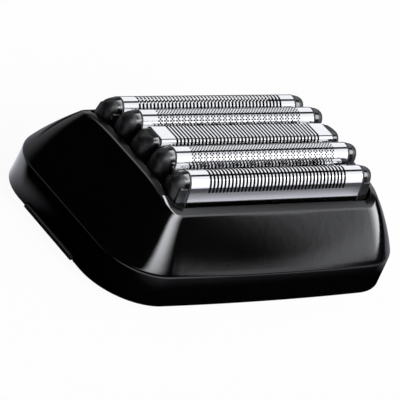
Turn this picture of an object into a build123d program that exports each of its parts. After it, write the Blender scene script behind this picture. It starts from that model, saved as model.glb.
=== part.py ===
"""Five-foil shaving head: gloss black frame, floating steel foils and their carrier.

Millimetres. X runs along the foils, -Y is the front, +Z is up, and the frame's
bottom edge stands on Z = 0.
"""
import os
from math import atan2, cos, hypot, radians, sin

from build123d import *

os.makedirs("parts", exist_ok=True)

# Foils
FOIL_LENGTH = 38.0  # bare steel between the end caps
FOIL_PITCH = 5.0  # from one foil's middle to the next
FOIL_SHEET = 0.2
FINISHING_WIDTH = 5.2  # over the feet of the legs
FINISHING_ARCH_WIDTH = 4.3  # where the legs meet the arch
FINISHING_ARCH_RISE = 3.0
FINISHING_RISE = 5.8  # top above the foils' bottom edge
LIFT_WIDTH = 4.4
LIFT_ARCH_WIDTH = 4.2
LIFT_ARCH_RISE = 2.8
LIFT_RISE = 6.8
COMB_WIDTH = 4.8
COMB_TOP_WIDTH = 4.5
COMB_CORNER_WIDTH = 0.9  # rounding between the comb's flat top and its walls
COMB_CORNER_RISE = 1.0
COMB_RISE = 6.25
ARCH_LEANS = (30, 60)  # flats on either side of an arch's top, in degrees from level
COMB_LEANS = (45,)
END_BAND = 3.66  # plain steel at each end of a foil

# Slits of the finishing foils and the comb
SLIT_PITCH = 0.798
SLIT_WIDTH = 0.36

# Staggered holes of the lift foils
HOLE_PITCH = 1.28
HOLE_WIDTH = 0.5
HOLE_SPAN = 0.75  # across the foil

# End caps and their guide legs
CAP_LENGTH = 3.2
CAP_DOME = ((0.4, 0.0), (0.8, 0.28), (1.0, 0.7))  # shares of the length, and of the foil's corner to draw in by
SPIGOT_LENGTH = 1.4
SPIGOT_CLEARANCE = 0.05
LEG_SETBACK = 0.8  # from the foil's end
LEG_THICKNESS = 1.4
LEG_WIDTH = 2.4
LEG_CLEARANCE = 0.15
HOOK_REACH = 0.55
HOOK_HEIGHT = 0.9
STOP_CLEARANCE = 0.05

# Float
FLOAT_TRAVEL = 2.0
FLOAT_CLEARANCE = 0.2  # cap above the carrier with the foil pressed down
FLOAT_SPRING_HEIGHT = 3.0
FLOAT_SPRING_STRIP = 0.35  # measured flat across a slanted arm
FLOAT_SPRING_WIDTH = 2.0
FLOAT_SPRING_ARMS = 3

# Carrier
CARRIER_HEIGHT = 6.3
CARRIER_FLOOR = 1.0
CARRIER_WALL = 1.5  # outside the hooks
CARRIER_RAIL = 1.1
RAIL_OVERHANG = 0.4  # the rails reach this far in under the outer foils
WELL_OVERHANG = 0.4  # and the end walls under the ends of the foils
LUG_HEIGHT = 1.5
LUG_WIDTH = 4.0
LUG_OFFSET = 9.5  # from the middle of the head to the middle of a lug

# Frame
OPENING_END_GAP = 0.3  # between the caps and the lip
OPENING_SIDE_GAP = 0.6  # between the outer foils and the lip
OPENING_CORNER = 2.4
LIP_END_WIDTH = 1.3
LIP_SIDE_WIDTH = 1.15
LIP_CORNER = 3.3
LIP_HEIGHT = 16.5
LIP_THICKNESS = 1.6
LIP_OVER_FOILS = 3.0  # lip above the foils' bottom edge
CROWN_DROP = 2.6  # the lip falls this much to its front and rear edges
CROWN_POWER = 4.6  # how late it falls: 2 is a plain arc
SLOPE_END_RUN = 7.45
SLOPE_SIDE_RUN = 4.71
SLOPE_BULGE = 0.35
SLOPE_INSET = 0.3  # more wall, measured flat, where the face slopes
CREASE_HEIGHT = 5.71
CREASE_CORNER = 8.7
CREASE_BOW = 0.94  # how far the long sides bow out
LIP_BOW = 0.05
SKIRT_END_FLARE = 0.75
SKIRT_SIDE_FLARE = 0.34
SKIRT_CORNER = 10.0
SKIRT_BOW = 0.84
CORNER_FLATS = 8  # flats that follow a corner's quarter circle
SIDE_FLATS = 4  # flats of half a bowed side
HOLLOW_CORNER_FLATS = 6
HOLLOW_SIDE_FLATS = 2
CROWN_FLATS = 12  # flats that follow the lip's crown
WALL = 1.6
BOSS_CLEARANCE = 0.15  # from the opening to the bosses beside it
BOSS_OVERLAP = 0.3  # bosses and lugs reach this far past the lip's edge

# Release buttons
NOTCH_WIDTH = 14.6
NOTCH_HEIGHT = 1.05
NOTCH_CORNER = 0.6
PAD_CLEARANCE = 0.25
PAD_PROUD = 0.45
PAD_LIFT = 0.05  # pad above the skirt's bottom edge
BUTTON_TRAVEL = 1.2
PLATE_GAP = 0.5  # from the skirt's inner face
PLATE_THICKNESS = 1.3
PLATE_HEIGHT = 1.9
RAIL_GAP = 0.2  # button to its guide ribs
GUIDE_RIB = 1.6
GUIDE_HEIGHT = 2.6
GUIDE_LIFT = 0.3
GROOVE_DEPTH = 0.8
GROOVE_BOTTOM = 0.5
GROOVE_HEIGHT = 1.0
TONGUE_WIDTH = 6.0
TONGUE_LENGTH = 2.0
LATCH_THICKNESS = 0.8
LATCH_HEIGHT = 4.4
LATCH_NOSE = 0.7
NOSE_HEIGHT = 0.8
STOP_WALL = 1.0
BUTTON_SPRING_BOW = 2.0
BUTTON_SPRING_STRIP = 0.2
BUTTON_SPRING_HEIGHT = 1.2
BUTTON_SPRING_SPAN = 12.0
BUTTON_SPRING_FLATS = 3  # flats of half the bow

# Inner cutter of the comb
BLADE_GAP = 0.05  # under the comb's top
BLADE_SIDE_GAP = 0.05
BLADE_SHEET = 0.4
BLADE_EDGE = 0.5  # plain steel along each long edge
BLADE_SLOT_PITCH = 2.394
BLADE_SLOT_WIDTH = 0.8
BLADE_TRAVEL = 1.0  # each way
BLADE_STOP_GAP = 0.3
BLOCK_LENGTH = 10.0
BLOCK_WIDTH = 3.0
BLOCK_HEIGHT = 5.6
DRIVE_SLOT_WIDTH = 2.4
DRIVE_SLOT_DEPTH = 2.6

# Sizes that follow from those above
FOIL_BOTTOM = LIP_HEIGHT - LIP_OVER_FOILS
FOIL_END = FOIL_LENGTH / 2
ROW_HALF_DEPTH = 2 * FOIL_PITCH + FINISHING_WIDTH / 2

LEG_INNER = FOIL_END + LEG_SETBACK
LEG_OUTER = LEG_INNER + LEG_THICKNESS
HOOK_OUTER = LEG_OUTER + HOOK_REACH

CARRIER_TOP = FOIL_BOTTOM - FLOAT_TRAVEL - FLOAT_CLEARANCE
CARRIER_BOTTOM = CARRIER_TOP - CARRIER_HEIGHT
POCKET_FLOOR = CARRIER_BOTTOM + CARRIER_FLOOR
LEG_BOTTOM = POCKET_FLOOR + FLOAT_SPRING_HEIGHT
HOOK_TOP = LEG_BOTTOM + HOOK_HEIGHT
CARRIER_END = HOOK_OUTER + CARRIER_WALL
WELL_END = FOIL_END - WELL_OVERHANG
WELL_SIDE = ROW_HALF_DEPTH - RAIL_OVERHANG
CARRIER_SIDE = WELL_SIDE + CARRIER_RAIL

OPENING_END = FOIL_END + CAP_LENGTH + OPENING_END_GAP
OPENING_SIDE = ROW_HALF_DEPTH + OPENING_SIDE_GAP
LIP_END = OPENING_END + LIP_END_WIDTH
LIP_SIDE = OPENING_SIDE + LIP_SIDE_WIDTH
CREASE_END = LIP_END + SLOPE_END_RUN
CREASE_SIDE = LIP_SIDE + SLOPE_SIDE_RUN
SKIRT_END = CREASE_END + SKIRT_END_FLARE
SKIRT_SIDE = CREASE_SIDE + SKIRT_SIDE_FLARE
SLOPE_RISE = LIP_HEIGHT - CREASE_HEIGHT
SIDE_LEAN = (SLOPE_SIDE_RUN + CREASE_BOW / 2) / (SLOPE_RISE - CROWN_DROP)
CROWNED_SIDE = LIP_SIDE - CROWN_DROP * SIDE_LEAN  # the lip's half depth at full height
LUG_END = LIP_END + BOSS_OVERLAP

PAD_END = SKIRT_END + PAD_PROUD
PLATE_OUTER = SKIRT_END - WALL - PLATE_GAP
PLATE_INNER = PLATE_OUTER - PLATE_THICKNESS
TONGUE_END = PLATE_INNER - TONGUE_LENGTH
STOP_FACE = TONGUE_END - BUTTON_SPRING_BOW
GUIDE_FACE = NOTCH_WIDTH / 2 + RAIL_GAP + PAD_CLEARANCE
GUIDE_OUTER = GUIDE_FACE + GUIDE_RIB

BLADE_TOP = FOIL_BOTTOM + COMB_RISE - FOIL_SHEET - BLADE_GAP
BLADE_END = FOIL_END - SPIGOT_LENGTH - BLADE_TRAVEL - BLADE_STOP_GAP


def save(piece, name):
    """Label a finished piece and write it under that name."""
    piece.label = name
    export_step(piece, f"parts/{name}.step")


def centred_count(reach, pitch):
    """Odd number of places at one pitch that fit within a reach either side of the middle."""
    return 2 * int(reach / pitch) + 1


class Foil:
    """One foil of the row: its place, and the flats that its sheet is bent to."""

    def __init__(self, name, row, rise, width, top_width, corner_width, corner_rise, leans):
        self.name = name
        self.middle = row * FOIL_PITCH
        self.corner_width = corner_width
        self.top = FOIL_BOTTOM + rise
        self.spring_line = self.top - corner_rise
        half_top = top_width / 2
        leg_lean = atan2(self.spring_line - FOIL_BOTTOM, width / 2 - half_top)

        def distance(lean):
            """From the middle of the spring line out to the flat with this lean."""
            return (half_top - corner_width) * sin(lean) + hypot(corner_width * sin(lean), corner_rise * cos(lean))

        bends = [(lean, distance(lean)) for lean in (radians(lean) for lean in leans)]
        rear = bends + [(leg_lean, half_top * sin(leg_lean))]
        self.flats = [(-lean, reach) for lean, reach in reversed(rear)] + [(0, corner_rise)] + rear

    def points(self, inset=0.0):
        """Bends of the sheet from its front foot to its rear foot, seen from the end, as (Y, Z)."""
        flats = [(sin(lean), cos(lean), reach - inset) for lean, reach in self.flats]
        bends = []
        for (s1, c1, r1), (s2, c2, r2) in zip(flats, flats[1:]):
            cross = s1 * c2 - s2 * c1
            bends.append((self.middle + (r1 * c2 - r2 * c1) / cross, self.spring_line + (s1 * r2 - s2 * r1) / cross))
        across, up, reach = flats[-1]
        foot = (reach - (FOIL_BOTTOM - self.spring_line) * up) / across
        return [(self.middle - foot, FOIL_BOTTOM), *bends, (self.middle + foot, FOIL_BOTTOM)]

    def face(self, inset=0.0):
        """The closed section, solid from leg to leg."""
        with BuildSketch(Plane.XY) as closed:
            with BuildLine():
                Polyline(*self.points(inset), close=True)
            make_face()
        return closed.sketch


finishing_form = (FINISHING_RISE, FINISHING_WIDTH, FINISHING_ARCH_WIDTH, FINISHING_ARCH_WIDTH / 2, FINISHING_ARCH_RISE, ARCH_LEANS)
lift_form = (LIFT_RISE, LIFT_WIDTH, LIFT_ARCH_WIDTH, LIFT_ARCH_WIDTH / 2, LIFT_ARCH_RISE, ARCH_LEANS)
comb = Foil("comb_blade", 0, COMB_RISE, COMB_WIDTH, COMB_TOP_WIDTH, COMB_CORNER_WIDTH, COMB_CORNER_RISE, COMB_LEANS)
FOILS = [
    Foil("finishing_foil_rear", 2, *finishing_form),
    Foil("lift_foil_rear", 1, *lift_form),
    comb,
    Foil("lift_foil_front", -1, *lift_form),
    Foil("finishing_foil_front", -2, *finishing_form),
]


# Outer frame


def plan_points(half_length, half_depth, corner, bow, corner_flats, side_flats):
    """Plan of the frame, straight ends, bowed long sides and round corners, as points round it."""
    turns = [radians(90 * k / corner_flats) for k in range(corner_flats + 1)]
    quarter = [
        (half_length - corner * (1 - cos(turn)), half_depth - corner * (1 - sin(turn))) for turn in turns
    ]
    side_step = (half_length - corner) / side_flats
    quarter += [(k * side_step, half_depth) for k in range(side_flats - 1, -1, -1)]
    bowed = [(x, y + bow * (1 - (x / half_length) ** 2)) for x, y in quarter]
    rear = bowed + [(-x, y) for x, y in reversed(bowed[:-1])]
    return rear + [(-x, -y) for x, y in rear]


def flat_sided_form(rings):
    """Solid through rings of points, in flat faces from each ring to the next."""
    outlines = [rings[0], rings[-1]]
    for low, high in zip(rings, rings[1:]):
        for k in range(len(low)):
            outlines.append((low[k - 1], low[k], high[k]))
            outlines.append((low[k - 1], high[k], high[k - 1]))
    return Solid(Shell([Face(Wire.make_polygon(outline)) for outline in outlines]))


def frame_form(sections, flats, lip_height):
    """Closed form through a list of (height, plan sizes), cut off on top by the lip's crown."""
    rings = [[(x, y, height) for x, y in plan_points(*plan, *flats)] for height, *plan in sections]
    with BuildPart() as form:
        add(flat_sided_form(rings))
        with BuildSketch(Plane.YZ):
            with BuildLine():
                shares = [sin(radians(180 * k / CROWN_FLATS - 90)) for k in range(CROWN_FLATS + 1)]
                crown = [(share * LIP_SIDE, lip_height - CROWN_DROP * abs(share) ** CROWN_POWER) for share in shares]
                above = 2 * LIP_HEIGHT
                Polyline(
                    (-CREASE_SIDE, above),
                    (-CREASE_SIDE, lip_height - CROWN_DROP),
                    *crown,
                    (CREASE_SIDE, lip_height - CROWN_DROP),
                    (CREASE_SIDE, above),
                    close=True,
                )
            make_face()
        extrude(amount=SKIRT_END, both=True, mode=Mode.SUBTRACT)
    return form.part


skirt_section = (0, SKIRT_END, SKIRT_SIDE, SKIRT_CORNER, SKIRT_BOW)
crease_section = (CREASE_HEIGHT, CREASE_END, CREASE_SIDE, CREASE_CORNER, CREASE_BOW)
slope_section = (
    CREASE_HEIGHT + SLOPE_RISE / 2,
    (CREASE_END + LIP_END) / 2 + SLOPE_BULGE,
    (CREASE_SIDE + CROWNED_SIDE) / 2 + SLOPE_BULGE,
    (CREASE_CORNER + LIP_CORNER) / 2,
    (CREASE_BOW + LIP_BOW) / 2,
)
lip_section = (LIP_HEIGHT, LIP_END, CROWNED_SIDE, LIP_CORNER, LIP_BOW)


def inset_section(section, inset):
    """The same section, one wall further in."""
    height, half_length, half_depth, corner, bow = section
    return height, half_length - inset, half_depth - inset, corner - inset, bow


outer_sections = [skirt_section, crease_section, slope_section, lip_section]
hollow_sections = [
    inset_section(skirt_section, WALL),
    inset_section(crease_section, WALL),
    inset_section(lip_section, WALL + SLOPE_INSET),
]

with BuildPart() as outer_frame:
    add(frame_form(outer_sections, (CORNER_FLATS, SIDE_FLATS), LIP_HEIGHT))
    add(frame_form(hollow_sections, (HOLLOW_CORNER_FLATS, HOLLOW_SIDE_FLATS), LIP_HEIGHT - LIP_THICKNESS), mode=Mode.SUBTRACT)
    # Top opening for the row of foils
    with BuildSketch(Plane.XY.offset(LIP_HEIGHT)):
        RectangleRounded(2 * OPENING_END, 2 * OPENING_SIDE, OPENING_CORNER)
    extrude(amount=-SLOPE_RISE, mode=Mode.SUBTRACT)
    # Notches for the release buttons in both ends of the skirt
    with BuildSketch(Plane.YZ):
        Rectangle(NOTCH_WIDTH, 2 * NOTCH_HEIGHT)
        chamfer(vertices().group_by(Axis.Y)[-1], NOTCH_CORNER)
    extrude(amount=PAD_END, both=True, mode=Mode.SUBTRACT)
    # Bosses under the lip that seat the carrier
    boss_inner = OPENING_END + BOSS_CLEARANCE
    with BuildSketch(Plane.XY.offset(CARRIER_TOP)):
        with GridLocations(boss_inner + LUG_END, 2 * LUG_OFFSET, 2, 2):
            Rectangle(LUG_END - boss_inner, LUG_WIDTH)
    extrude(amount=LIP_HEIGHT - LIP_THICKNESS - CARRIER_TOP)
    # Grooved ribs and stop walls that guide the release buttons
    rib_outer = SKIRT_END - WALL / 2 - SKIRT_END_FLARE
    with BuildSketch(Plane.XY.offset(GUIDE_LIFT)):
        with GridLocations(rib_outer + STOP_FACE, GUIDE_FACE + GUIDE_OUTER, 2, 2):
            Rectangle(rib_outer - STOP_FACE, GUIDE_RIB)
        with GridLocations(2 * STOP_FACE - STOP_WALL, 0, 2, 1):
            Rectangle(STOP_WALL, 2 * GUIDE_OUTER)
    extrude(amount=GUIDE_HEIGHT - GUIDE_LIFT)
    with BuildSketch(Plane.XY.offset(GROOVE_BOTTOM)):
        with GridLocations(PLATE_OUTER + STOP_FACE, 0, 2, 1):
            Rectangle(PLATE_OUTER - STOP_FACE, 2 * (GUIDE_FACE + GROOVE_DEPTH))
    extrude(amount=GROOVE_HEIGHT, mode=Mode.SUBTRACT)
save(outer_frame.part, "outer_frame")


# Foil carrier

with BuildPart() as foil_carrier:
    with BuildSketch(Plane.XY.offset(CARRIER_BOTTOM)):
        Rectangle(2 * CARRIER_END, 2 * CARRIER_SIDE)
        Rectangle(2 * WELL_END, 2 * WELL_SIDE, mode=Mode.SUBTRACT)
    extrude(amount=CARRIER_HEIGHT)
    # Blind pockets for the legs of the end caps
    with BuildSketch(Plane.XY.offset(CARRIER_TOP)):
        with GridLocations(LEG_INNER + LEG_OUTER, FOIL_PITCH, 2, len(FOILS)):
            Rectangle(LEG_THICKNESS + 2 * LEG_CLEARANCE, LEG_WIDTH + 2 * LEG_CLEARANCE)
    extrude(amount=POCKET_FLOOR - CARRIER_TOP, mode=Mode.SUBTRACT)
    # Windows whose upper edges stop the hooks
    window_top = HOOK_TOP + STOP_CLEARANCE
    for side in (1, -1):
        with BuildSketch(Plane.YZ.offset(side * LEG_OUTER)):
            with Locations((0, (POCKET_FLOOR + window_top) / 2)):
                with GridLocations(FOIL_PITCH, 0, len(FOILS), 1):
                    Rectangle(LEG_WIDTH + 2 * LEG_CLEARANCE, window_top - POCKET_FLOOR)
        extrude(amount=side * (CARRIER_END - LEG_OUTER), mode=Mode.SUBTRACT)
    # Lugs that seat on the bosses of the frame
    with BuildSketch(Plane.XY.offset(CARRIER_TOP)):
        with GridLocations(CARRIER_END + LUG_END, 2 * LUG_OFFSET, 2, 2):
            Rectangle(LUG_END - CARRIER_END, LUG_WIDTH)
    extrude(amount=-LUG_HEIGHT)
save(foil_carrier.part, "foil_carrier")


# Foils


def foil_sheet(foil):
    """Bent sheet of one foil, before its slits or holes."""
    with BuildPart() as sheet:
        with BuildSketch(Plane.YZ):
            with BuildLine():
                Polyline(*foil.points(), *reversed(foil.points(FOIL_SHEET)), close=True)
            make_face()
        extrude(amount=FOIL_END, both=True)
    return sheet.part


def slit_foil(foil):
    """Foil with cross slits that run over its top and end at its straight legs."""
    leg_top = foil.points()[1][1]
    with BuildPart() as slit:
        add(foil_sheet(foil))
        with BuildSketch(Plane((0, foil.middle, foil.top))):
            with GridLocations(SLIT_PITCH, 0, centred_count(FOIL_END - END_BAND, SLIT_PITCH), 1):
                Rectangle(SLIT_WIDTH, FOIL_PITCH)
        extrude(amount=leg_top - foil.top, mode=Mode.SUBTRACT)
    return slit.part


def mesh_foil(foil):
    """Foil with three staggered rows of holes, in its top flat and the flat on either side."""
    columns = centred_count(FOIL_END - END_BAND, HOLE_PITCH)
    bends = foil.points()
    top_flat = len(bends) // 2 - 1
    with BuildPart() as mesh:
        add(foil_sheet(foil))
        for k, count in ((top_flat - 1, columns // 2), (top_flat, columns // 2 + 1), (top_flat + 1, columns // 2)):
            (y1, z1), (y2, z2) = bends[k], bends[k + 1]
            flat = Plane((0, (y1 + y2) / 2, (z1 + z2) / 2), x_dir=(1, 0, 0), z_dir=(0, z1 - z2, y2 - y1))
            with BuildSketch(flat):
                with GridLocations(2 * HOLE_PITCH, 0, count, 1):
                    Rectangle(HOLE_WIDTH, HOLE_SPAN)
            extrude(amount=-2 * FOIL_SHEET, mode=Mode.SUBTRACT)
    return mesh.part


for foil in FOILS:
    perforate = mesh_foil if foil.name.startswith("lift") else slit_foil
    save(perforate(foil), foil.name)


# End caps with their guide legs, and the springs under them


def end_cap(foil, side):
    """Cap that plugs into one end of a foil and carries it on a leg."""
    with BuildPart() as cap:
        with BuildSketch(Plane.YZ.offset(FOIL_END - SPIGOT_LENGTH)):
            add(foil.face(FOIL_SHEET + SPIGOT_CLEARANCE))
        extrude(amount=SPIGOT_LENGTH)
        rings = []
        for reach, inset in ((0, 0), *CAP_DOME):
            x = FOIL_END + reach * CAP_LENGTH
            rings.append([(x, y, z) for y, z in foil.points(inset * foil.corner_width)])
        add(flat_sided_form(rings))
        # Leg and the hook at its foot
        with BuildSketch(Plane.XY.offset(LEG_BOTTOM)):
            with Locations(((LEG_INNER + LEG_OUTER) / 2, foil.middle)):
                Rectangle(LEG_THICKNESS, LEG_WIDTH)
        extrude(amount=FOIL_BOTTOM - LEG_BOTTOM)
        with BuildSketch(Plane.XY.offset(LEG_BOTTOM)):
            with Locations(((LEG_OUTER + HOOK_OUTER) / 2, foil.middle)):
                Rectangle(HOOK_REACH, LEG_WIDTH)
        extrude(amount=HOOK_HEIGHT)
        if side < 0:
            mirror(about=Plane.YZ, mode=Mode.REPLACE)
    return cap.part


def float_spring(foil, side):
    """Zigzag leaf spring between a pocket's floor and the leg above it."""
    rise = FLOAT_SPRING_HEIGHT / FLOAT_SPRING_ARMS
    bends = [
        (LEG_OUTER - FLOAT_SPRING_STRIP if k % 2 else LEG_INNER, POCKET_FLOOR + k * rise)
        for k in range(FLOAT_SPRING_ARMS + 1)
    ]
    far_side = [(x + FLOAT_SPRING_STRIP, z) for x, z in reversed(bends)]
    with BuildPart() as spring:
        with BuildSketch(Plane((0, foil.middle, 0), x_dir=(1, 0, 0), z_dir=(0, -1, 0))):
            with BuildLine():
                Polyline(*bends, *far_side, close=True)
            make_face()
        extrude(amount=FLOAT_SPRING_WIDTH / 2, both=True)
        if side < 0:
            mirror(about=Plane.YZ, mode=Mode.REPLACE)
    return spring.part


for number, foil in enumerate(FOILS, start=1):
    for side, side_name in ((-1, "left"), (1, "right")):
        save(end_cap(foil, side), f"end_cap_{side_name}_{number}")
        save(float_spring(foil, side), f"float_spring_{side_name}_{number}")


# Inner cutter of the comb and its drive block

blade_half_width = comb.points(FOIL_SHEET)[len(comb.flats) // 2 + 1][0] - BLADE_SIDE_GAP  # inside the comb's top flat

with BuildPart() as trimmer_blade:
    with BuildSketch(Plane.XY.offset(BLADE_TOP)):
        Rectangle(2 * BLADE_END, 2 * blade_half_width)
        with GridLocations(BLADE_SLOT_PITCH, 0, centred_count(FOIL_END - END_BAND, BLADE_SLOT_PITCH), 1):
            Rectangle(BLADE_SLOT_WIDTH, 2 * (blade_half_width - BLADE_EDGE), mode=Mode.SUBTRACT)
    extrude(amount=-BLADE_SHEET)
save(trimmer_blade.part, "trimmer_blade")

with BuildPart() as trimmer_drive_block:
    block_top = BLADE_TOP - BLADE_SHEET
    with BuildSketch(Plane.XY.offset(block_top)):
        Rectangle(BLOCK_LENGTH, BLOCK_WIDTH)
    extrude(amount=-BLOCK_HEIGHT)
    with BuildSketch(Plane.XY.offset(block_top - BLOCK_HEIGHT)):
        Rectangle(DRIVE_SLOT_WIDTH, BLOCK_WIDTH)
    extrude(amount=DRIVE_SLOT_DEPTH, mode=Mode.SUBTRACT)
save(trimmer_drive_block.part, "trimmer_drive_block")


# Release buttons and their return springs


def release_button(side):
    """Push pad in the skirt's notch, with its guide plate, tongue and latch."""
    pad_half = NOTCH_WIDTH / 2 - PAD_CLEARANCE
    pad_top = NOTCH_HEIGHT - PAD_CLEARANCE
    tab_clearance = RAIL_GAP / 2
    tab_half = GUIDE_FACE + GROOVE_DEPTH - RAIL_GAP
    with BuildPart() as button:
        with BuildSketch(Plane.YZ.offset(PLATE_INNER)):
            with Locations((0, (PAD_LIFT + pad_top) / 2)):
                Rectangle(2 * pad_half, pad_top - PAD_LIFT)
            chamfer(vertices().group_by(Axis.Y)[-1], NOTCH_CORNER - PAD_CLEARANCE / 2)
        extrude(amount=PAD_END - PLATE_INNER)
        with BuildSketch(Plane.XY.offset(PAD_LIFT)):
            with Locations(((PLATE_INNER + PLATE_OUTER) / 2, 0)):
                Rectangle(PLATE_THICKNESS, 2 * (GUIDE_FACE - RAIL_GAP))
        extrude(amount=PLATE_HEIGHT)
        # Tabs that run in the grooves of the guide ribs
        with BuildSketch(Plane.XY.offset(GROOVE_BOTTOM + tab_clearance)):
            with Locations(((PLATE_INNER + PLATE_OUTER) / 2, 0)):
                Rectangle(PLATE_THICKNESS, 2 * tab_half)
            with Locations(((TONGUE_END + PLATE_INNER) / 2, 0)):
                Rectangle(TONGUE_LENGTH, TONGUE_WIDTH)
        extrude(amount=GROOVE_HEIGHT - 2 * tab_clearance)
        # Latch that stands up from the tongue, with its nose facing outwards
        with BuildSketch(Plane.XZ):
            with BuildLine():
                Polyline(
                    (TONGUE_END, GROOVE_BOTTOM + tab_clearance),
                    (TONGUE_END + LATCH_THICKNESS, GROOVE_BOTTOM + tab_clearance),
                    (TONGUE_END + LATCH_THICKNESS, LATCH_HEIGHT - NOSE_HEIGHT),
                    (TONGUE_END + LATCH_THICKNESS + LATCH_NOSE, LATCH_HEIGHT - NOSE_HEIGHT),
                    (TONGUE_END + LATCH_THICKNESS, LATCH_HEIGHT),
                    (TONGUE_END, LATCH_HEIGHT),
                    close=True,
                )
            make_face()
        extrude(amount=TONGUE_WIDTH / 2, both=True)
        if side < 0:
            mirror(about=Plane.YZ, mode=Mode.REPLACE)
    return button.part


def button_spring(side):
    """Bowed leaf spring between the stop wall and the latch."""
    shares = [k / BUTTON_SPRING_FLATS for k in range(-BUTTON_SPRING_FLATS, BUTTON_SPRING_FLATS + 1)]
    rise = BUTTON_SPRING_BOW - BUTTON_SPRING_STRIP
    near = [(STOP_FACE + rise * (1 - share**2), share * BUTTON_SPRING_SPAN / 2) for share in shares]
    far = [(x + BUTTON_SPRING_STRIP, y) for x, y in reversed(near)]
    with BuildPart() as spring:
        with BuildSketch(Plane.XY.offset(GROOVE_BOTTOM + GROOVE_HEIGHT / 2)):
            with BuildLine():
                Polyline(*near, *far, close=True)
            make_face()
        extrude(amount=BUTTON_SPRING_HEIGHT)
        if side < 0:
            mirror(about=Plane.YZ, mode=Mode.REPLACE)
    return spring.part


for side, side_name in ((-1, "left"), (1, "right")):
    save(release_button(side), f"release_button_{side_name}")
    save(button_spring(side), f"button_spring_{side_name}")
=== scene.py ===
from math import acos, atan2, cos, floor, hypot, pi, radians, sin

import bmesh
import bpy
from mathutils import Matrix, Vector


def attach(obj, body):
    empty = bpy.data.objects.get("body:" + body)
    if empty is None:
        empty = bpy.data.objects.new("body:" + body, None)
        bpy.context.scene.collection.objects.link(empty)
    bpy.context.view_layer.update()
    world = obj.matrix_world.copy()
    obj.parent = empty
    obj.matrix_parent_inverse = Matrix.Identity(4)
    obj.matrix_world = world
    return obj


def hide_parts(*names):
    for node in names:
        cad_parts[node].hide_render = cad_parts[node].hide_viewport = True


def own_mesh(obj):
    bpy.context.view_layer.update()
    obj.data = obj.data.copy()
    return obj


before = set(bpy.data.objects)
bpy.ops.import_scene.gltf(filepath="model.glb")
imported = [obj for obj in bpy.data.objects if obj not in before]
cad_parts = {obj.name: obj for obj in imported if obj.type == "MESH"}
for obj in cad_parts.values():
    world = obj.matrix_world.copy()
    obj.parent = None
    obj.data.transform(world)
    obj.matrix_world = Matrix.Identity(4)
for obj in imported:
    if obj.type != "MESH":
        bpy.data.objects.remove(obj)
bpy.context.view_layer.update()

# Outer frame
# One thick-walled shell, injection moulded in black plastic and polished to a
# piano gloss. Its skirt meets long sloped faces at a crease, and a crowned lip
# rings the opening for the foils.

MM = 0.001
CORNER_STEPS = 18
SIDE_CUTS = 23
END_CUTS = 9
SLOPE_STEPS = 10
NOTCH_REACH = 7.3
NOTCH_HEIGHT = 1.05
NOTCH_CATCH = (6.5, 8.0)
END_WALL = 29
CROWN_POWER = 4.6
END_FALL_POWER = 14


class Signal:
    """A node's output that takes part in sums; each operator adds a Math node."""

    def __init__(self, finish, socket):
        self.finish = finish
        self.socket = socket

    def maths(self, operation, first, second):
        return self.finish.node("ShaderNodeMath", {"operation": operation}, {0: first, 1: second})

    def __add__(self, other):
        return self.maths("ADD", self, other)

    def __sub__(self, other):
        return self.maths("SUBTRACT", self, other)

    def __rsub__(self, other):
        return self.maths("SUBTRACT", other, self)

    def __mul__(self, other):
        return self.maths("MULTIPLY", self, other)

    __radd__ = __add__


class Finish:
    """A node tree that is built up by sums and by one node-making method."""

    def __init__(self, tree):
        self.tree = tree

    def node(self, kind, settings, sockets, out=0):
        made = self.tree.nodes.new(kind)
        for name, value in settings.items():
            setattr(made, name, value)
        for name, value in sockets.items():
            self.feed(made.inputs[name], value)
        return Signal(self, made.outputs[out])

    def feed(self, socket, value):
        if isinstance(value, Signal):
            self.tree.links.new(value.socket, socket)
        else:
            socket.default_value = value

    def place(self):
        return self.node("ShaderNodeTexCoord", {}, {}, out="Object")

    def noise(self, vector, scale, detail):
        return self.node("ShaderNodeTexNoise", {}, {"Vector": vector, "Scale": scale, "Detail": detail}, out="Fac")

    def stretched(self, vector, scale):
        return self.node("ShaderNodeMapping", {}, {"Vector": vector, "Scale": scale}, out="Vector")

    def blend(self, factor, first, second):
        return self.node("ShaderNodeMix", {"data_type": "RGBA"}, {"Factor": factor, 6: first, 7: second}, out=2)

    def bump(self, height, strength, distance):
        return self.node("ShaderNodeBump", {}, {"Height": height, "Strength": strength, "Distance": distance})


def surface(name, fixed):
    """A material with a Principled shader, its even values set on the sockets."""
    material = bpy.data.materials.new(name)
    material.use_nodes = True
    shader = material.node_tree.nodes["Principled BSDF"]
    for socket, value in fixed.items():
        shader.inputs[socket].default_value = value
    return material, Finish(material.node_tree), shader.inputs


def finished(name, mesh, body, materials, hides=(), sharp=32):
    """Turn a bmesh into a piece that rides on a body and stands for CAD nodes."""
    bmesh.ops.transform(mesh, matrix=Matrix.Scale(MM, 4), verts=mesh.verts)
    data = bpy.data.meshes.new(name)
    for face in mesh.faces:
        face.smooth = True
    mesh.to_mesh(data)
    mesh.free()
    data.set_sharp_from_angle(angle=radians(sharp))
    for material in materials:
        data.materials.append(material)
    piece = bpy.data.objects.new(name, data)
    bpy.context.scene.collection.objects.link(piece)
    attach(piece, body)
    if hides:
        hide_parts(*hides)
    return piece


def soften(mesh, edges, radius, steps):
    """Round off some edges of a mesh."""
    bmesh.ops.bevel(
        mesh, geom=edges, offset=radius, offset_type="OFFSET", segments=steps,
        profile=0.5, affect="EDGES", material=-1,
    )


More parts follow.
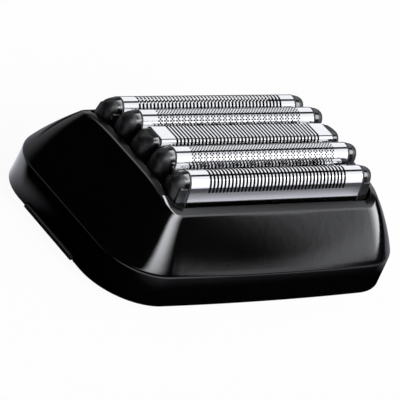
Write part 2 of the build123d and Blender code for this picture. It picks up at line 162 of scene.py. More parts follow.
def plan_ring(mesh, half_length, half_depth, corner, bow, height, crown):
    """One plan of the frame: a rectangle with rounded corners and bowed long sides."""
    earlier = set(mesh.edges)
    plate = bmesh.ops.create_grid(mesh, x_segments=1, y_segments=1, size=1)["verts"]
    bmesh.ops.scale(mesh, verts=plate, vec=(half_length, half_depth, 1))
    bmesh.ops.bevel(
        mesh, geom=plate, offset=corner, offset_type="OFFSET", segments=CORNER_STEPS,
        profile=0.5, affect="VERTICES", material=-1,
    )
    bmesh.ops.delete(mesh, geom=list(mesh.faces), context="FACES_ONLY")
    ring = [edge for edge in mesh.edges if edge not in earlier]
    sides = [e for e in ring if abs(e.verts[0].co.y - e.verts[1].co.y) < 1e-5]
    ends = [e for e in ring if abs(e.verts[0].co.x - e.verts[1].co.x) < 1e-5]
    bmesh.ops.subdivide_edges(mesh, edges=sides, cuts=SIDE_CUTS)
    bmesh.ops.subdivide_edges(mesh, edges=ends, cuts=END_CUTS)
    ring = [edge for edge in mesh.edges if edge not in earlier]
    for vert in {v for edge in ring for v in edge.verts}:
        share = vert.co.x / half_length
        vert.co.z = height - crown * abs(vert.co.y / half_depth) ** CROWN_POWER
        vert.co.y += (1 if vert.co.y > 0 else -1) * bow * (1 - share**2)
    return ring


def between(low, high, share):
    return tuple(a + (b - a) * share for a, b in zip(low, high))


def lies_along_x(edge):
    return abs(edge.verts[0].co.x - edge.verts[1].co.x) > 1


def at_notch_corner(vert):
    in_corner = abs(vert.co.z - NOTCH_HEIGHT) < 0.1 and abs(abs(vert.co.y) - NOTCH_REACH) < 0.01
    return in_corner and abs(vert.co.x) > END_WALL


SKIRT = (32.0, 19.4, 10.0, 0.84, 0.0, 0.0)
SKIRT_INSIDE = (30.4, 17.8, 8.4, 0.84, 0.0, 0.0)
CREASE = (31.25, 19.06, 8.7, 0.94, 5.71, 0.0)
CREASE_INSIDE = (29.65, 17.46, 7.1, 0.94, 5.71, 0.0)
LIP = (23.8, 14.35, 3.3, 0.05, 16.5, 2.6)
OPENING = (22.5, 13.2, 2.4, 0.0, 16.5, 1.77)
OPENING_FOOT = (22.5, 13.2, 2.4, 0.0, 14.9, 1.77)
LEDGE = (22.9, 13.6, 2.8, 0.0, 14.9, 2.03)
LIP_END_FALL = 0.3
END_BULGE = 0.35
SIDE_BULGE = 0.15

shell = bmesh.new()
notch_share = NOTCH_HEIGHT / CREASE[4]
slope = []
for step in range(1, SLOPE_STEPS):
    share = step / SLOPE_STEPS
    swell = 4 * share * (1 - share)
    length, depth, corner, bow, height, crown = between(CREASE, LIP, share)
    slope.append((length + END_BULGE * swell, depth + SIDE_BULGE * swell, corner, bow, height, crown))
outlines = [SKIRT_INSIDE, SKIRT, between(SKIRT, CREASE, notch_share), between(SKIRT, CREASE, 0.6), CREASE]
outlines += slope
outlines += [LIP, OPENING, OPENING_FOOT, LEDGE, CREASE_INSIDE, between(SKIRT_INSIDE, CREASE_INSIDE, notch_share)]
rings = [plan_ring(shell, *outline) for outline in outlines]
crease_at, lip_at = outlines.index(CREASE), outlines.index(LIP)
for number in range(crease_at, lip_at + 1):
    fall = LIP_END_FALL * (number - crease_at) / SLOPE_STEPS
    for vert in {v for edge in rings[number] for v in edge.verts}:
        vert.co.z -= fall * (vert.co.x / outlines[number][0]) ** END_FALL_POWER
for number, ring in enumerate(rings):
    wall = bmesh.ops.bridge_loops(shell, edges=ring + rings[(number + 1) % len(rings)])["faces"]
    for face in wall:
        face.material_index = 1 if number == lip_at else 0
bmesh.ops.recalc_face_normals(shell, faces=shell.faces)
# Notches in both ends of the skirt, open downwards, for the release buttons
for vert in shell.verts:
    at_end = vert.co.z < NOTCH_HEIGHT + 0.1 and abs(vert.co.x) > END_WALL
    if at_end and NOTCH_CATCH[0] < abs(vert.co.y) < NOTCH_CATCH[1]:
        vert.co.y = NOTCH_REACH if vert.co.y > 0 else -NOTCH_REACH
gone = []
for face in shell.faces:
    middle = face.calc_center_median()
    if abs(middle.x) > END_WALL and abs(middle.y) < NOTCH_REACH and middle.z < NOTCH_HEIGHT - 0.1:
        gone.append(face)
bmesh.ops.delete(shell, geom=gone, context="FACES")
open_edges = [edge for edge in shell.edges if edge.is_boundary]
for side in (1, -1):
    chain = [e for e in open_edges if side * e.verts[0].co.x > 0]
    bmesh.ops.bridge_loops(shell, edges=[e for e in chain if not lies_along_x(e)])
notch_corners = [e for e in shell.edges if lies_along_x(e) and all(at_notch_corner(v) for v in e.verts)]
soften(shell, notch_corners, 0.5, 4)
for number, radius, steps in ((lip_at, 0.22, 4), (lip_at + 1, 0.22, 3), (crease_at, 0.36, 4), (1, 0.2, 3)):
    soften(shell, [e for e in rings[number] if e.is_valid], radius, steps)

gloss_black, gloss, gloss_in = surface("gloss_black", {"Base Color": (0.001, 0.001, 0.0011, 1), "IOR": 1.5})
spot = gloss.place()
gloss.feed(gloss_in["Roughness"], 0.045 + gloss.noise(spot, 90, 4) * 0.05)
gloss.feed(gloss_in["Normal"], gloss.bump(gloss.noise(spot, 700, 2), 0.02, 0.0002))

lip_satin, satin_lip, satin_lip_in = surface("lip_satin", {"Base Color": (0.003, 0.003, 0.0033, 1), "IOR": 1.7})
spot = satin_lip.place()
etched = satin_lip.noise(spot, 3000, 3)
satin_lip.feed(satin_lip_in["Roughness"], 0.09 + etched * 0.06)
satin_lip.feed(satin_lip_in["Normal"], satin_lip.bump(etched, 0.015, 0.00002))
shell_piece = finished("frame_shell", shell, "frame", [gloss_black, lip_satin], ["outer_frame"])
smoother = shell_piece.modifiers.new("even normals", "WEIGHTED_NORMAL")
smoother.keep_sharp = True

# Guides and bosses inside the frame
# Ribs, stop walls and bosses moulded in one with the shell, left as they come
# from the tool. The buttons slide in the grooved ribs and the carrier's lugs
# seat on the bosses.

RIB_LENGTH = (24.6, 30.45)
RIB_DEPTH = (8.55, 9.35)
RIB_HEIGHT = (0.3, 2.6)
FLANK_DEPTH = (7.75, 8.55)
FLANK_HEIGHTS = ((0.3, 0.5), (1.5, 2.6))
BOSS_LENGTH = (22.65, 24.1)
BOSS_DEPTH = (7.5, 11.5)
BOSS_HEIGHT = (11.3, 14.9)
STOP_LENGTH = (23.6, 24.6)


def block(mesh, x_span, y_span, z_span, radius=0.12):
    """A moulded bar between two corners, with its edges rounded off."""
    spans = [sorted(span) for span in (x_span, y_span, z_span)]
    verts = bmesh.ops.create_cube(mesh, size=1)["verts"]
    bmesh.ops.scale(mesh, verts=verts, vec=[high - low for low, high in spans])
    bmesh.ops.translate(mesh, verts=verts, vec=[(high + low) / 2 for low, high in spans])
    soften(mesh, list({edge for vert in verts for edge in vert.link_edges}), radius, 2)


def flipped(span, sign):
    return [sign * end for end in span]


guides = bmesh.new()
for side in (1, -1):
    for rear in (1, -1):
        for z_span in FLANK_HEIGHTS:
            block(guides, flipped(RIB_LENGTH, side), flipped(FLANK_DEPTH, rear), z_span, 0.06)
        block(guides, flipped(RIB_LENGTH, side), flipped(RIB_DEPTH, rear), RIB_HEIGHT, 0.1)
        block(guides, flipped(BOSS_LENGTH, side), flipped(BOSS_DEPTH, rear), BOSS_HEIGHT, 0.15)
    block(guides, flipped(STOP_LENGTH, side), (-RIB_DEPTH[1], RIB_DEPTH[1]), RIB_HEIGHT, 0.15)

matte_black, matte, matte_in = surface("matte_black", {"Base Color": (0.008, 0.008, 0.0085, 1), "IOR": 1.48})
spot = matte.place()
grain = matte.noise(spot, 4200, 3)
matte.feed(matte_in["Roughness"], 0.42 + grain * 0.2)
matte.feed(matte_in["Normal"], matte.bump(grain, 0.25, 0.00004))
finished("frame_guides", guides, "frame", [matte_black], sharp=40)

# Foil carrier
# The inner frame, moulded in matte black, that takes the legs of the end caps
# in blind pockets and hangs under the lip. Its own solid has the right shape.

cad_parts["foil_carrier"].material_slots[0].material = matte_black

# Springs
# Leaf springs of rolled steel strip: a zigzag under the leg of each end cap and
# a bow behind each button, built in their free shape and riding on the frame.

ZIGZAG = ((19.8, 6.0), (20.85, 7.0), (19.8, 8.0), (20.85, 9.0))
ZIGZAG_STRIP = 0.35
ZIGZAG_WIDTH = 2.0
BOW_STEPS = 8
BOW_FOOT = 24.6
BOW_RISE = 1.8
BOW_STRIP = 0.2
BOW_REACH = 6.0
BOW_BOTTOM = 1.0
BOW_HEIGHT = 1.2

strip_steel, strip, strip_in = surface("strip_steel", {"Metallic": 1.0})
spot = strip.place()
rolled = strip.noise(strip.stretched(spot, (1, 1, 12)), 900, 3)
strip.feed(strip_in["Base Color"], strip.blend(rolled, (0.5, 0.49, 0.47, 1), (0.68, 0.67, 0.65, 1)))
strip.feed(strip_in["Roughness"], 0.25 + rolled * 0.2)


def leaf(bends, thickness, width, side):
    """Strip along a path of bends, thick along X and as wide as a vector says."""
    mesh = bmesh.new()
    tip = mesh.verts.new(bends[0])
    for bend in bends[1:]:
        tip = bmesh.ops.extrude_vert_indiv(mesh, verts=[tip])["verts"][0]
        tip.co = bend
    for way in ((thickness, 0, 0), width):
        if mesh.faces:
            grown = bmesh.ops.extrude_face_region(mesh, geom=mesh.faces[:], use_keep_orig=True)["geom"]
        else:
            grown = bmesh.ops.extrude_edge_only(mesh, edges=mesh.edges[:])["geom"]
        bmesh.ops.translate(mesh, verts=[item for item in grown if isinstance(item, bmesh.types.BMVert)], vec=way)
    bmesh.ops.scale(mesh, vec=(side, 1, 1), verts=mesh.verts)
    bmesh.ops.recalc_face_normals(mesh, faces=mesh.faces)
    return mesh


FLOATS = (
    ("finishing_rear", 10.0),
    ("lift_rear", 5.0),
    ("comb", 0.0),
    ("lift_front", -5.0),
    ("finishing_front", -10.0),
)
for side, side_name in ((-1, "left"), (1, "right")):
    for number, (unit, middle) in enumerate(FLOATS, start=1):
        name = f"float_spring_{side_name}_{number}"
        path = [(x, middle - ZIGZAG_WIDTH / 2, z) for x, z in ZIGZAG]
        zigzag = leaf(path, ZIGZAG_STRIP, (0, ZIGZAG_WIDTH, 0), side)
        piece = finished("dressed_" + name, zigzag, "frame", [strip_steel], [name])
        foot = (side * ZIGZAG[0][0] * MM, middle * MM, ZIGZAG[0][1] * MM)
        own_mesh(piece)
    name = f"button_spring_{side_name}"
    shares = [k / BOW_STEPS for k in range(-BOW_STEPS, BOW_STEPS + 1)]
    path = [(BOW_FOOT + BOW_RISE * (1 - share**2), share * BOW_REACH, BOW_BOTTOM) for share in shares]
    bow = leaf(path, BOW_STRIP, (0, 0, BOW_HEIGHT), side)
    piece = finished("dressed_" + name, bow, "frame", [strip_steel], [name])
    foot = (side * BOW_FOOT * MM, 0, BOW_BOTTOM * MM)
    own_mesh(piece)

# Foils
# Thin steel sheet, etched through and bent to an arch over straight legs, then
# bright plated. The outer two have cross slits, the two beside the middle have
# columns of fine staggered holes, and the middle one is a flat-topped comb. The
# inside faces of the sheet are painted near black, as painted shade.

FOIL_END = 19.0
FOIL_BOTTOM = 13.5
SHEET = 0.14
# Half widths at the foot and the top, corner radius and rise of the arch, top
FINISHING = (2.6, 2.15, 2.15, 3.1, 19.3)
LIFT = (2.2, 2.1, 2.1, 2.8, 20.3)
COMB = (2.4, 2.25, 0.9, 1.0, 19.75)
FINISHING_FOOT = 15.0
LIFT_FOOT = 15.5
COMB_FOOT = 16.0

foil_steel, steel, steel_in = surface("foil_steel", {"Metallic": 1.0})
spot = steel.place()
drawn = steel.noise(steel.stretched(spot, (0.02, 1, 1)), 9000, 3)
steel.feed(steel_in["Base Color"], steel.blend(drawn, (0.9, 0.9, 0.91, 1), (0.96, 0.96, 0.965, 1)))
steel.feed(steel_in["Roughness"], 0.06 + drawn * 0.06)
steel.feed(steel_in["Normal"], steel.bump(drawn, 0.05, 0.00002))

# Painted shade: the inner faces of the sheet are the same plated steel, but they get a near-black, half-metal finish
# so that the inside of the head looks dark through the slits and holes, with a random mottle in tone and roughness
painted_shade_foil_inside, painted_shade, painted_shade_in = surface("painted_shade_foil_inside", {"Metallic": 0.6})
spot = painted_shade.place()
shade_mottle = painted_shade.noise(spot, 1500, 4)
painted_shade.feed(painted_shade_in["Base Color"], painted_shade.blend(shade_mottle, (0.012, 0.012, 0.013, 1), (0.03, 0.03, 0.032, 1)))
painted_shade.feed(painted_shade_in["Roughness"], 0.45 + shade_mottle * 0.2)


def leg_lean(half_base, half_top, corner, rise, top):
    """Turn at which a leg runs into the arch, with the arch squeezed to a circle."""
    out, down = half_base - half_top + corner, (top - rise - FOIL_BOTTOM) * corner / rise
    return acos(corner / hypot(out, down)) - atan2(down, out)


def bent_section(mesh, x, section, inset=0.0):
    """Section of a foil from its front leg over the top to its rear leg, as edges."""
    middle, *sizes, stops, arc_steps = section
    half_base, half_top, corner, rise, top = (size - inset for size in sizes)
    spring_line = top - rise
    squeeze = corner / rise
    bottom = spring_line + (FOIL_BOTTOM - spring_line) * squeeze
    lean = leg_lean(half_base, half_top, corner, rise, top)
    leg_top = half_top - corner * (1 - cos(lean)), spring_line + corner * sin(lean)
    known = set(mesh.edges)
    tip = mesh.verts.new((x, middle - half_base, bottom))

    def draw(tip, y, z):
        pulled = bmesh.ops.extrude_vert_indiv(mesh, verts=[tip])["verts"][0]
        pulled.co = (x, y, z)
        return pulled

    def turn(tip, centre_y):
        arc = {"geom": [tip], "cent": (x, centre_y, spring_line), "axis": (-1, 0, 0), "steps": arc_steps}
        return bmesh.ops.spin(mesh, **arc, angle=pi / 2 - lean)["geom_last"][0]

    leg_shares = [(stop - FOIL_BOTTOM) * squeeze / (leg_top[1] - bottom) for stop in stops] + [1.0]
    for share in leg_shares:
        tip = draw(tip, middle - half_base + (half_base - leg_top[0]) * share, bottom + (leg_top[1] - bottom) * share)
    tip = turn(tip, middle - half_top + corner)
    if half_top - corner > 0.01:
        tip = draw(tip, middle + half_top - corner, spring_line + corner)
    tip = turn(tip, middle + half_top - corner)
    for share in reversed([0.0] + leg_shares[:-1]):
        tip = draw(tip, middle + half_base - (half_base - leg_top[0]) * share, bottom + (leg_top[1] - bottom) * share)
    edges = [edge for edge in mesh.edges if edge not in known]
    stretch = {"vec": (1, 1, rise / corner), "space": Matrix.Translation((0, 0, -spring_line))}
    bmesh.ops.scale(mesh, verts=list({v for edge in edges for v in edge.verts}), **stretch)
    return edges


def rolled_foil(section, stations):
    """Sheet drawn out along X from one section to a row of stations."""
    mesh = bmesh.new()
    edges = bent_section(mesh, stations[0], section)
    for last, station in zip(stations, stations[1:]):
        grown = bmesh.ops.extrude_edge_only(mesh, edges=edges)["geom"]
        verts = [item for item in grown if isinstance(item, bmesh.types.BMVert)]
        bmesh.ops.translate(mesh, verts=verts, vec=(station - last, 0, 0))
        fresh = set(verts)
        edges = [e for e in grown if isinstance(e, bmesh.types.BMEdge) and fresh.issuperset(e.verts)]
    return mesh


def thickened(mesh, gone):
    """Take out the openings, give the sheet its thickness and mark the inside faces, which take the near-black
    painted shade.
    """
    bmesh.ops.delete(mesh, geom=gone, context="FACES")
    bmesh.ops.recalc_face_normals(mesh, faces=mesh.faces)
    upward = max(mesh.faces, key=lambda face: face.calc_center_median().z)
    if upward.normal.z < 0:
        bmesh.ops.reverse_faces(mesh, faces=mesh.faces)
    outside = set(mesh.faces)
    bmesh.ops.solidify(mesh, geom=mesh.faces, thickness=SHEET)
    for face in mesh.faces:
        face.material_index = 0 if face in outside else 1


SLIT_PITCH = 0.785
SLIT_WIDTH = 0.45


def slit_stations(slits):
    stations = [-FOIL_END]
    for k in range(slits):
        centre = (k - (slits - 1) / 2) * SLIT_PITCH
        stations += [centre - SLIT_WIDTH / 2, centre + SLIT_WIDTH / 2]
    return stations + [FOIL_END]


def in_slit(face, slits, low_end):
    middle = face.calc_center_median()
    nearest = round(middle.x / SLIT_PITCH) * SLIT_PITCH
    return abs(nearest) < slits * SLIT_PITCH / 2 and abs(middle.x - nearest) < SLIT_WIDTH / 2 and middle.z > low_end


FINISHING_SLIT_END = 16.55
for body, name, middle, slits in (
    ("finishing_rear_unit", "finishing_foil_rear", 10.0, 41),
    ("finishing_front_unit", "finishing_foil_front", -10.0, 39),
):
    foil = rolled_foil((middle, *FINISHING, (FINISHING_FOOT, FINISHING_SLIT_END), 18), slit_stations(slits))
    thickened(foil, [face for face in foil.faces if in_slit(face, slits, FINISHING_SLIT_END)])
    finished("dressed_" + name, foil, body, [foil_steel, painted_shade_foil_inside], [name])

COMB_SLIT_END = 17.6
COMB_SLITS = 41
comb = rolled_foil((0.0, *COMB, (COMB_FOOT, COMB_SLIT_END), 8), slit_stations(COMB_SLITS))
thickened(comb, [face for face in comb.faces if in_slit(face, COMB_SLITS, COMB_SLIT_END)])
finished("dressed_comb_blade", comb, "comb_unit", [foil_steel, painted_shade_foil_inside], ["comb_blade"])

LANE_PITCH = 0.32
LANES = 99
LANES_TO_COLUMN = 4
OPEN_LANES = 3
HOLE_HALF_WIDTH = 0.15
ARCH_ROWS = 36
HOLE_ROWS = 3
COLUMN_TURNS = (radians(25), radians(65))
LAST_TURN = radians(80)
LIFT_CORNER, LIFT_RISE, LIFT_TOP = LIFT[2:]
ROW_TURN = (pi / 2 - leg_lean(*LIFT)) / ARCH_ROWS


def hole_stations():
    stations = [-FOIL_END]
    for k in range(LANES):
        centre = (k - LANES // 2) * LANE_PITCH
        stations += [centre - HOLE_HALF_WIDTH, centre + HOLE_HALF_WIDTH]
    return stations + [FOIL_END]


def is_hole(face, middle_y):
    """Staggered lanes of holes, with solid bars between columns of lanes half way down."""
    middle = face.calc_center_median()
    across, up = (middle.y - middle_y) / LIFT_CORNER, (middle.z - LIFT_TOP + LIFT_RISE) / LIFT_RISE
    turn = Vector((up, across)).angle_signed(Vector((1, 0)))
    row = floor(turn / ROW_TURN)
    lane = round(middle.x / LANE_PITCH)
    in_lane = abs(lane) <= LANES // 2 and abs(middle.x - lane * LANE_PITCH) <= HOLE_HALF_WIDTH
    if not in_lane or abs(turn) > LAST_TURN:
        return False
    if COLUMN_TURNS[0] < abs(turn) < COLUMN_TURNS[1] and (lane + 1) % LANES_TO_COLUMN >= OPEN_LANES:
        return False
    return (row // HOLE_ROWS + lane) % 2 == 0


for body, name, middle in (("lift_rear_unit", "lift_foil_rear", 5.0), ("lift_front_unit", "lift_foil_front", -5.0)):
    foil = rolled_foil((middle, *LIFT, (LIFT_FOOT,), ARCH_ROWS), hole_stations())
    thickened(foil, [face for face in foil.faces if is_hole(face, middle)])
    finished("dressed_" + name, foil, body, [foil_steel, painted_shade_foil_inside], [name])

# End caps
# Black plastic plugs that close both ends of each foil: a thin collar at the
# steel, a tapered ring, a rounded end and a wedge at the foot. A leg with a hook
# goes down into the carrier.

COLLAR = ((0.0, 0.0), (0.38, 0.0))
RING = ((0.4, 0.02), (1.4, 0.195))
DOME_START = (1.42, 0.2)
DOME_LENGTH = 2.263
DOME_TURNS = (radians(12), radians(84))
DOME_STEPS = 10
DOME_INSET = 1.6
ROUNDING_REACH = 0.9
ROUNDING_STRETCH = 1.4
FLAT_LEFT = 0.06
SHOE_LENGTH = 2.0
SHOE_HEIGHT = 3.9
SHOE_MIDDLE = 20.5
SHOE_TAPERS = (0.79, 0.95, 0.7)
LEG = (19.8, 21.2)
LEG_HALF_WIDTH = 1.2
LEG_BOTTOM = 9.0
HOOK_TOP = 9.9
HOOK_END = 21.75


def ramp(finish, value, start, full):
    """Nought below one value and one above another, with a soft step between."""
    limits = {"Value": value, "From Min": start, "From Max": full}
    return finish.node("ShaderNodeMapRange", {"interpolation_type": "SMOOTHSTEP"}, limits)


cap_black, cap, cap_in = surface("cap_black", {"Base Color": (0.004, 0.004, 0.0045, 1), "IOR": 1.5})
spot = cap.place()
moulded = cap.noise(spot, 2600, 3)
along = cap.node("ShaderNodeSeparateXYZ", {}, {"Vector": spot}, out="X")
reach = cap.node("ShaderNodeMath", {"operation": "ABSOLUTE"}, {0: along})
ring = ramp(cap, reach, 0.01937, 0.01941)
dome = ramp(cap, reach, 0.0202, 0.0204)
cap.feed(cap_in["Roughness"], 0.55 + moulded * 0.06 - ring * 0.46 + dome * 0.3)
cap.feed(cap_in["Normal"], cap.bump(moulded, 0.08, 0.00003))

shoe_satin, worn, worn_in = surface("shoe_satin", {"Base Color": (0.008, 0.008, 0.0085, 1), "IOR": 1.5})
spot = worn.place()
rubbed = worn.noise(spot, 1800, 4)
worn.feed(worn_in["Roughness"], 0.22 + rubbed * 0.1)
worn.feed(worn_in["Normal"], worn.bump(rubbed, 0.06, 0.00003))


def shoe(mesh, middle, half_base):
    """Wedge at the foot of a cap, leaning back and drawn in towards the outer end."""
    verts = bmesh.ops.create_cube(mesh, size=1)["verts"]
    bmesh.ops.scale(mesh, verts=verts, vec=(SHOE_LENGTH, 2 * half_base, SHOE_HEIGHT))
    lean, draw_in, cut_back = SHOE_TAPERS
    for vert in verts:
        vert.co.y *= (lean if vert.co.z > 0 else 1.0) * (draw_in if vert.co.x > 0 else 1.0)
        vert.co.x *= cut_back if vert.co.x > 0 and vert.co.z > 0 else 1.0
    bmesh.ops.translate(mesh, verts=verts, vec=(SHOE_MIDDLE, middle, FOIL_BOTTOM + SHOE_HEIGHT / 2))
    for face in {face for vert in verts for face in vert.link_faces}:
        face.material_index = 1
    soften(mesh, list({edge for vert in verts for edge in vert.link_edges}), 0.25, 3)


def rounded(section, share):
    """Section with its flat top turned by a share into a full arch."""
    middle, half_base, half_top, corner, rise, *rest = section
    growth = max(0.0, half_top - corner - FLAT_LEFT) * share
    return (middle, half_base, half_top, corner + growth, rise + growth * ROUNDING_STRETCH, *rest)


def capped_end(section, side):
    """Cap through a row of sections that follow its collar, ring and dome, with its leg."""
    mesh = bmesh.new()
    profile = list(COLLAR + RING)
    for k in range(DOME_STEPS):
        turn = DOME_TURNS[0] + k * (DOME_TURNS[1] - DOME_TURNS[0]) / (DOME_STEPS - 1)
        reach = DOME_START[0] + DOME_LENGTH * (sin(turn) - sin(DOME_TURNS[0]))
        profile.append((reach, DOME_START[1] + DOME_INSET * (cos(DOME_TURNS[0]) - cos(turn))))
    loops = []
    for reach, inset in profile:
        share = min(1.0, max(0.0, reach - DOME_START[0]) / ROUNDING_REACH)
        loops.append(bent_section(mesh, FOIL_END + reach, rounded(section, share), inset))
    for loop in loops:
        ends = [v for edge in loop for v in edge.verts if v.co.z < FOIL_BOTTOM + 1e-4]
        loop += bmesh.ops.contextual_create(mesh, geom=list(set(ends)))["edges"]
    for loop, following in zip(loops, loops[1:]):
        bmesh.ops.bridge_loops(mesh, edges=loop + following)
    for loop in (loops[0], loops[-1]):
        bmesh.ops.contextual_create(mesh, geom=loop)
    middle = section[0]
    shoe(mesh, middle, section[1] + 0.02)
    leg_width = (middle - LEG_HALF_WIDTH, middle + LEG_HALF_WIDTH)
    block(mesh, LEG, leg_width, (LEG_BOTTOM, FOIL_BOTTOM + 0.3))
    block(mesh, (LEG[1] - 0.2, HOOK_END), leg_width, (LEG_BOTTOM, HOOK_TOP))
    if side < 0:
        bmesh.ops.scale(mesh, vec=(-1, 1, 1), verts=mesh.verts)
    bmesh.ops.recalc_face_normals(mesh, faces=mesh.faces)
    return mesh


COMB_CAP = (2.4, 2.25, 1.3, 1.4, 19.75)
CAP_ARC_STEPS = 14
CAP_SECTIONS = (
    ("finishing_rear_unit", (10.0, *FINISHING, (FINISHING_FOOT,), CAP_ARC_STEPS)),
    ("lift_rear_unit", (5.0, *LIFT, (LIFT_FOOT,), CAP_ARC_STEPS)),
    ("comb_unit", (0.0, *COMB_CAP, (COMB_FOOT,), CAP_ARC_STEPS)),
    ("lift_front_unit", (-5.0, *LIFT, (LIFT_FOOT,), CAP_ARC_STEPS)),
    ("finishing_front_unit", (-10.0, *FINISHING, (FINISHING_FOOT,), CAP_ARC_STEPS)),
)
for number, (body, section) in enumerate(CAP_SECTIONS, start=1):
    for side, side_name in ((-1, "left"), (1, "right")):
        name = f"end_cap_{side_name}_{number}"
        end = capped_end(section, side)
        finished("dressed_" + name, end, body, [cap_black, shoe_satin], [name], sharp=30)

# Inner cutter of the comb
# A ground steel plate with cross slots, and the plastic block under it that the
# drive pin pushes to and fro. Both keep the shape of their solids.

ground_steel, ground, ground_in = surface("ground_steel", {"Metallic": 1.0})
spot = ground.place()
ground_lines = ground.noise(ground.stretched(spot, (1, 0.03, 1)), 7000, 3)
ground.feed(ground_in["Base Color"], ground.blend(ground_lines, (0.42, 0.42, 0.43, 1), (0.6, 0.6, 0.61, 1)))
ground.feed(ground_in["Roughness"], 0.25 + ground_lines * 0.15)
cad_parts["trimmer_blade"].material_slots[0].material = ground_steel
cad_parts["trimmer_drive_block"].material_slots[0].material = matte_black

# Release buttons
# Slim satin pads in the notches of the skirt, moulded in one with the plate
# that slides in the guides, the spring's tongue and the latch.

PAD_SIZE = (3.85, 14.1, 0.75)
PAD_MIDDLE = (30.525, 0, 0.425)
PLATE = ((28.6, 29.9), (-7.55, 7.55), (0.05, 1.95))
SLIDE = ((28.6, 29.9), (-8.35, 8.35), (0.6, 1.4))
TONGUE = ((26.6, 28.8), (-3.0, 3.0), (0.6, 1.4))
LATCH_ARM = ((26.6, 27.4), (-3.0, 3.0), (0.6, 4.4))
LATCH_NOSE = ((26.8, 28.0), (-3.0, 3.0), (3.6, 4.0))

button_black, button, button_in = surface("button_black", {"Base Color": (0.012, 0.012, 0.013, 1), "IOR": 1.5})
spot = button.place()
satin = button.noise(spot, 3200, 3)
button.feed(button_in["Roughness"], 0.16 + satin * 0.12)
button.feed(button_in["Normal"], button.bump(satin, 0.06, 0.00003))

for side, side_name in ((-1, "left"), (1, "right")):
    pad = bmesh.new()
    face_plate = bmesh.ops.create_cube(pad, size=1)["verts"]
    bmesh.ops.scale(pad, verts=face_plate, vec=PAD_SIZE)
    bmesh.ops.translate(pad, verts=face_plate, vec=PAD_MIDDLE)
    upper = [e for e in pad.edges if all(v.co.z > 0.5 for v in e.verts) and lies_along_x(e)]
    soften(pad, upper, 0.42, 5)
    soften(pad, [e for e in pad.edges if all(v.co.x > 32 for v in e.verts)], 0.14, 3)
    for bar in (PLATE, SLIDE, TONGUE, LATCH_ARM):
        block(pad, *bar)
    block(pad, *LATCH_NOSE, 0.1)
    if side < 0:
        bmesh.ops.scale(pad, vec=(-1, 1, 1), verts=pad.verts)
        bmesh.ops.recalc_face_normals(pad, faces=pad.faces)
    name = f"release_button_{side_name}"
    finished("dressed_" + name, pad, f"{side_name}_button", [button_black], [name], sharp=38)

# Floor
# A plain pale table under the object, white to the camera, with a soft trace of
# the object's shadow and a painted shade right under the object, where its white
# glow is turned off. Glossy faces see the table as dark, with a few paler patches
# of painted reflection and a painted contact shade close to the object.

# Half sizes of the painted shade under the object, where the table's white glow to the camera is turned off
PAINTED_SHADE_HALF_LENGTH = 0.029
PAINTED_SHADE_HALF_DEPTH = 0.0175

floor_mesh = bmesh.new()
bmesh.ops.create_grid(floor_mesh, x_segments=2, y_segments=2, size=1.5)
floor_data = bpy.data.meshes.new("floor")
floor_mesh.to_mesh(floor_data)
floor_mesh.free()
floor_piece = bpy.data.objects.new("floor", floor_data)
floor_piece.location.z = -0.0001
bpy.context.scene.collection.objects.link(floor_piece)

table = bpy.data.materials.new("pale_table")
table.use_nodes = True
table.node_tree.nodes.clear()
paint = Finish(table.node_tree)

spot = paint.place()
along = paint.node("ShaderNodeSeparateXYZ", {}, {"Vector": spot}, out="X")
across = paint.node("ShaderNodeSeparateXYZ", {}, {"Vector": spot}, out="Y")


def band(finish, value, rise, fall):
    """One between two soft steps, up over the first span and down over the second."""
    return ramp(finish, value, *rise) * (1 - ramp(finish, value, *fall))


def beyond_painted_shade(distance, half):
    return ramp(paint, distance * distance * (1 / half**2), 0.9, 1.0)


# Painted shade: the white glow falls to nothing inside this rounded box under the object, so the inside of the head
# stays dark
outside = beyond_painted_shade(along, PAINTED_SHADE_HALF_LENGTH) + beyond_painted_shade(across, PAINTED_SHADE_HALF_DEPTH)
lit = paint.node("ShaderNodeBsdfDiffuse", {}, {"Color": (0.8, 0.8, 0.81, 1)})
white = paint.node("ShaderNodeEmission", {}, {"Color": (1, 1, 1, 1), "Strength": ramp(paint, outside, 0, 1)})
seen = paint.node("ShaderNodeMixShader", {}, {0: 0.06, 1: white, 2: lit})
# Painted reflection: for glossy rays only, the table glows in pale patches placed so that the shell, foils and caps
# show them as highlights, and it stays dark within a few centimetres of the object as a painted contact shade
leftward, forward = along * -1, across * -1
back_left = band(paint, leftward, (0.005, 0.025), (0.035, 0.042)) * 1.7
back_left = back_left * band(paint, across, (0.006, 0.0225), (0.028, 0.038))
near_strip = (1 - ramp(paint, forward, 0.049, 0.0548)) * (1 - ramp(paint, along, 0.058, 0.064)) * 0.74
near_front = ramp(paint, forward, 0.025, 0.038) * (near_strip + 0.08)
far_front = ramp(paint, forward, 0.2, 0.28) * 1.1
right_side = band(paint, along, (0.032, 0.042), (0.15, 0.3)) * (1 - ramp(paint, forward, 0.02, 0.03)) * 0.45
behind = ramp(paint, across, 0.03, 0.045) * (1 - ramp(paint, along, -0.012, 0.004)) * 0.4
front_left = ramp(paint, leftward, -0.014, -0.009) * band(paint, forward, (0.04, 0.05), (0.09, 0.12)) * 2.2
painted_reflection_level = back_left + near_front + far_front + right_side + behind + front_left
painted_reflection = paint.node("ShaderNodeEmission", {}, {"Color": (0.9, 0.91, 1.0, 1), "Strength": painted_reflection_level})
camera_ray = paint.node("ShaderNodeLightPath", {}, {}, out="Is Camera Ray")
glossy_ray = paint.node("ShaderNodeLightPath", {}, {}, out="Is Glossy Ray")
clear_ray = paint.node("ShaderNodeLightPath", {}, {}, out="Is Transmission Ray")
for_mirrors = paint.node("ShaderNodeMixShader", {}, {0: glossy_ray, 1: lit, 2: painted_reflection})
table_top = paint.node("ShaderNodeMixShader", {}, {0: camera_ray + clear_ray, 1: for_mirrors, 2: seen})
table_out = table.node_tree.nodes.new("ShaderNodeOutputMaterial")
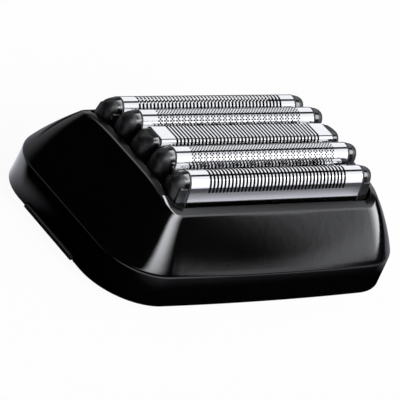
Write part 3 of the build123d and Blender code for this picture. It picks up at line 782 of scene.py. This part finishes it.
paint.feed(table_out.inputs["Surface"], table_top)
floor_data.materials.append(table)

# Studio
# A dark room with soft panels: a back wall, one overhead, a key in front of the
# near corner, low and sloping ones on the right, and small glows for the rings of
# the caps and the left lip. The camera itself sees white all round.

world = bpy.data.worlds.new("studio")
bpy.context.scene.world = world
world.use_nodes = True
world.node_tree.nodes.clear()
studio = Finish(world.node_tree)
heading = studio.node("ShaderNodeTexCoord", {}, {}, out="Generated")


def towards(direction):
    sides = {0: heading, 1: Vector(direction).normalized()}
    return studio.node("ShaderNodeVectorMath", {"operation": "DOT_PRODUCT"}, sides, out="Value")


rightward, backward, height = towards((1, 0, 0)), towards((0, 1, 0)), towards((0, 0, 1))
forward = backward * -1
on_right = ramp(studio, rightward, 0.40, 0.56)
back_wall = ramp(studio, backward, 0.03, 0.08) * ramp(studio, height, 0.1, 0.3) * on_right
overhead = ramp(studio, forward, 0.16, 0.27) * ramp(studio, height, 0.41, 0.46) * on_right * 0.98

skewed = rightward - height * 2.2 + 1.08
front_key = band(studio, skewed, (-0.42, -0.08), (0.05, 0.9)) * (1 - ramp(studio, rightward, 0.44, 0.64))
front_key = front_key * ramp(studio, forward, 0.1, 0.4) * band(studio, height, (0.25, 0.62), (0.62, 0.71)) * 12.5

diagonal = rightward + backward
low_panel = ramp(studio, diagonal, -0.18, -0.1) * ramp(studio, forward, 0.1, 0.4)
low_panel = low_panel * band(studio, height, (-0.01, 0.01), (0.27, 0.33))
low_panel = low_panel * (1 - ramp(studio, rightward, 0.71, 0.75)) * 1.2

above_edge = ramp(studio, height + rightward * 0.45, 0.557, 0.587) * (1 - ramp(studio, height, 0.4, 0.5))
fade = ramp(studio, diagonal, -0.02, 0.2)
slope_panel = fade * fade * above_edge * ramp(studio, forward, 0.1, 0.25) * 3.4
stripe = band(studio, rightward, (0.77, 0.94), (0.972, 0.995))
stripe = stripe * above_edge * ramp(studio, forward, 0.1, 0.2) * 5.0

left_glow = ramp(studio, towards((0, 0.58, 0.81)), 0.86, 1.0) * 0.6
left_edge = ramp(studio, towards((-0.12, 0.58, 0.805)), 0.96, 0.99)
far_glow = ramp(studio, towards((0.2, 0.98, 0.1)), 0.55, 1.0) * (1 - ramp(studio, height, 0.2, 0.42)) * 0.42
ring_off = studio.node("ShaderNodeMath", {"operation": "ABSOLUTE"}, {0: rightward - 0.397})
ring_glow = (1 - ramp(studio, ring_off, 0.025, 0.06)) * ramp(studio, height, 0.5, 0.6)
ring_glow = ring_glow * band(studio, forward, (-0.3, -0.1), (0.6, 0.75)) * 14.0

level = 0.008 + back_wall + overhead + front_key + low_panel + slope_panel + stripe
level = level + left_glow + left_edge + far_glow + ring_glow
soft_light = studio.node("ShaderNodeBackground", {}, {"Color": (0.95, 0.96, 1.0, 1), "Strength": level})
white_wall = studio.node("ShaderNodeBackground", {}, {"Color": (1, 1, 1, 1), "Strength": 1.0})
camera_ray = studio.node("ShaderNodeLightPath", {}, {}, out="Is Camera Ray")
clear_ray = studio.node("ShaderNodeLightPath", {}, {}, out="Is Transmission Ray")
all_round = studio.node("ShaderNodeMixShader", {}, {0: camera_ray + clear_ray, 1: soft_light, 2: white_wall})
world_out = world.node_tree.nodes.new("ShaderNodeOutputWorld")
studio.feed(world_out.inputs["Surface"], all_round)


def lamp(name, place, target, size, radiance):
    light = bpy.data.lights.new(name, "AREA")
    light.shape = "RECTANGLE"
    light.size, light.size_y = size
    light.energy = radiance * pi * size[0] * size[1]
    shining = bpy.data.objects.new(name, light)
    shining.location = place
    shining.rotation_euler = (Vector(target) - Vector(place)).to_track_quat("-Z", "Y").to_euler()
    shining.visible_camera = False
    bpy.context.scene.collection.objects.link(shining)


lamp("front_panel", (0.032, -0.034, 0.0345), (0.032, 0.0, 0.0345), (0.08, 0.015), 1.0)

# Camera
# A long lens from the front left and above, rolled so that the foils lie level.

lens = bpy.data.cameras.new("camera")
lens.sensor_width = 36.0
lens.lens = 285.6
camera = bpy.data.objects.new("camera", lens)
right = Vector((0.7437, -0.5465, 0.3849))
up = Vector((0.0302, 0.6027, 0.7974))
ahead = Vector((0.6678, 0.5814, -0.4648))
pose = Matrix((right, up, -ahead)).transposed().to_4x4()
pose.translation = (-0.35289, -0.30535, 0.24963)
camera.matrix_world = pose
bpy.context.scene.collection.objects.link(camera)
bpy.context.scene.camera = camera

bpy.context.scene.view_settings.view_transform = "Standard"
